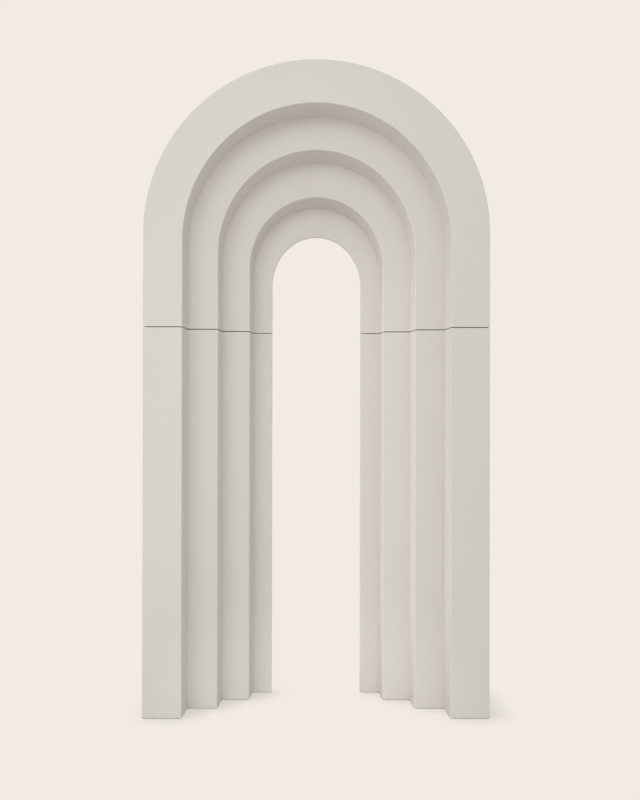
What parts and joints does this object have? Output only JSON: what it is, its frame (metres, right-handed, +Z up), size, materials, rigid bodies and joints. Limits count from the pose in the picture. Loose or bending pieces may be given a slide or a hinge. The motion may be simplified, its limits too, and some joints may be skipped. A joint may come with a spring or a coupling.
{
  "type": "stepped arch",
  "caption": "Free-standing round arch whose faces step back to a narrow opening, in leg modules under one arched head module.",
  "frame": {"origin": "on the floor, under the middle of the arch's width and depth", "axes": "+Z up, +Y from the stepped front to the plain back, +X across the arch"},
  "size_m": [1.2, 0.368, 2.28],
  "materials": {
    "matt_paint": "boards and bent strips, seams filled, sprayed in matt warm off-white",
    "bare_board": "unpainted fibreboard"
  },
  "bodies": {
    "root": {"left_face_1": "matt_paint", "left_face_2": "matt_paint", "left_face_3": "matt_paint", "left_reveal_1": "matt_paint", "left_reveal_2": "matt_paint", "left_reveal_3": "matt_paint", "left_outer_side": "matt_paint", "left_back_board": "matt_paint", "right_face_1": "matt_paint", "right_face_2": "matt_paint", "right_face_3": "matt_paint", "right_reveal_1": "matt_paint", "right_reveal_2": "matt_paint", "right_reveal_3": "matt_paint", "right_outer_side": "matt_paint", "right_back_board": "matt_paint", "head_face_1": "matt_paint", "head_face_2": "matt_paint", "head_face_3": "matt_paint", "head_reveal_1": "matt_paint", "head_reveal_2": "matt_paint", "head_reveal_3": "matt_paint", "head_outer_skin": "matt_paint", "head_back_board": "matt_paint", "left_base_plate": "bare_board", "left_top_plate": "bare_board", "right_base_plate": "bare_board", "right_top_plate": "bare_board", "head_left_plate": "bare_board", "head_right_plate": "bare_board"}
  },
  "joints": []
}
